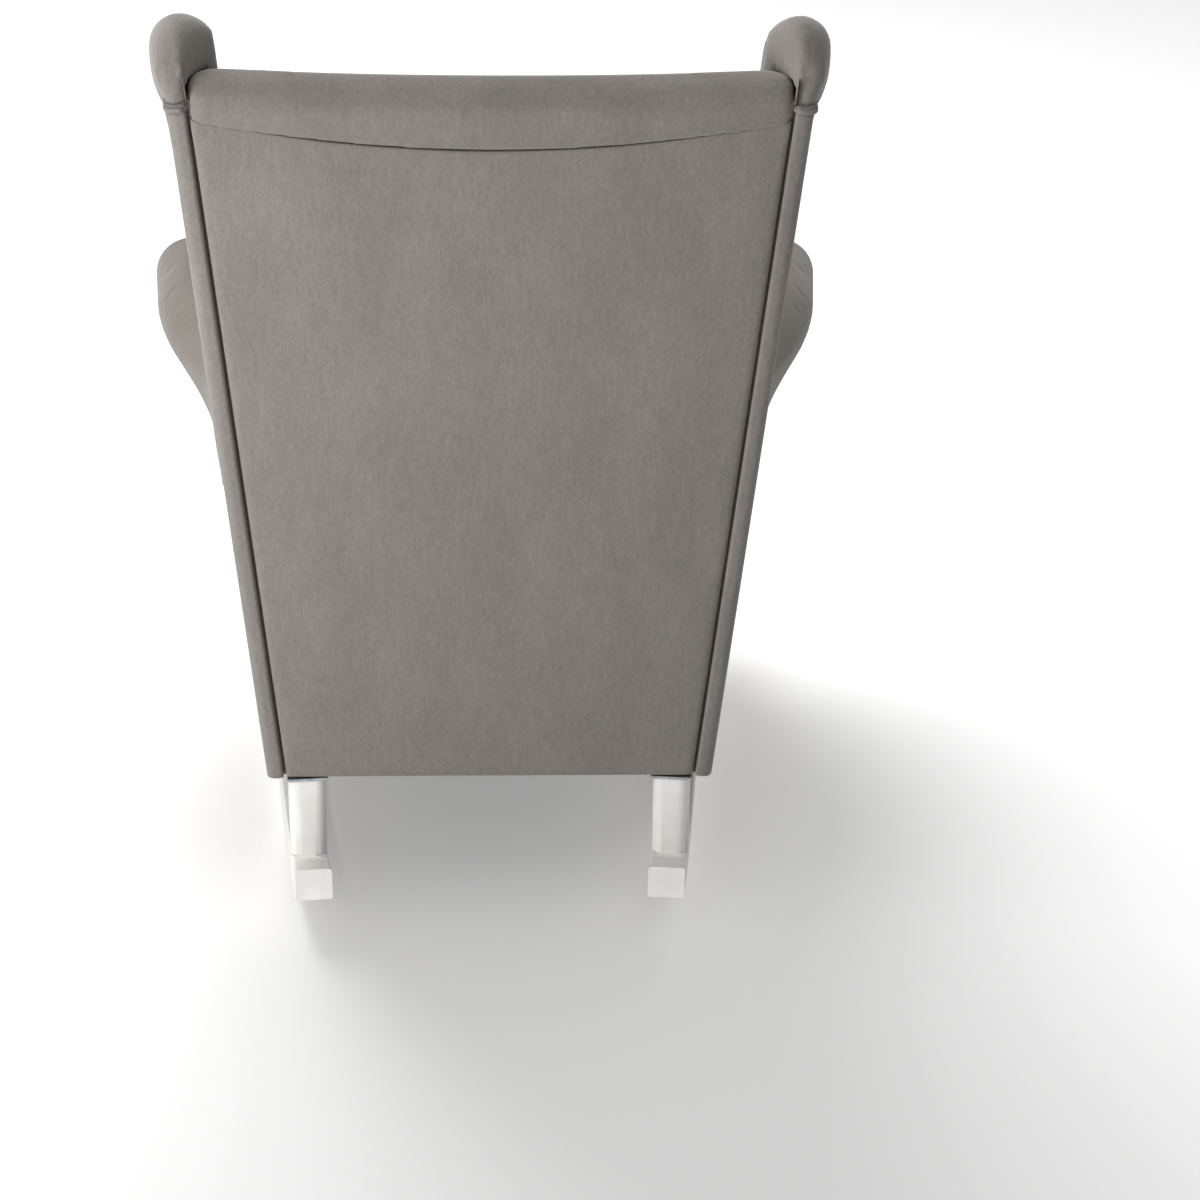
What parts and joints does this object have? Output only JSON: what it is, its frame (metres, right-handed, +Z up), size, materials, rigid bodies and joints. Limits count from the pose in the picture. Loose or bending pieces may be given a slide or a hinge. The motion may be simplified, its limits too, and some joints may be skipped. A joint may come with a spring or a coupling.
{
  "type": "rocking chair",
  "caption": "Upholstered wing chair with flared arms, raked back and loose seat cushion, on painted legs and two curved rockers.",
  "frame": {"origin": "on the floor, under the middle of the chair's length and width", "axes": "+Z up, -Y the way the chair faces, +X the sitter's left"},
  "size_m": [0.7886, 0.8483, 1.0371],
  "materials": {
    "white_wood": "white satin paint on solid wood",
    "steel": "zinc-plated steel",
    "plywood": "raw plywood",
    "timber": "raw hardwood",
    "webbing": "woven elastic webbing",
    "velvet": "short-pile warm grey velvet over foam",
    "lining": "thin black non-woven lining"
  },
  "bodies": {
    "chair": {"rocker_left": "white_wood", "rocker_right": "white_wood", "rear_leg_left": "white_wood", "rear_leg_right": "white_wood", "front_leg_left": "white_wood", "front_leg_right": "white_wood", "leg_plates": "steel", "leg_bolts": "steel", "rocker_screws": "steel", "side_board_left": "plywood", "side_board_right": "plywood", "side_rail_left": "timber", "side_rail_right": "timber", "front_rail": "timber", "rear_rail": "timber", "corner_blocks": "timber", "back_post_left": "timber", "back_post_right": "timber", "top_rail": "timber", "lower_back_rail": "timber", "arm_rail_left": "timber", "arm_rail_right": "timber", "frame_screws": "steel", "frame_dowels": "timber", "seat_springs": "steel", "spring_clips": "steel", "back_webbing": "webbing", "seat_deck": "velvet", "front_border": "velvet", "inner_back": "velvet", "top_roll": "velvet", "back_panel": "velvet", "side_panel_left": "velvet", "side_panel_right": "velvet", "wing_pad_left": "velvet", "wing_pad_right": "velvet", "arm_pad_left": "velvet", "arm_pad_right": "velvet", "inner_side_left": "velvet", "inner_side_right": "velvet", "dust_cover": "lining"},
    "cushion": {"seat_cushion": "velvet"}
  },
  "joints": [
    {"name": "cushion_lift", "type": "slide", "parent": "chair", "child": "cushion", "axis": [0, 0, 1], "range_m": [0, 0.25]}
  ]
}
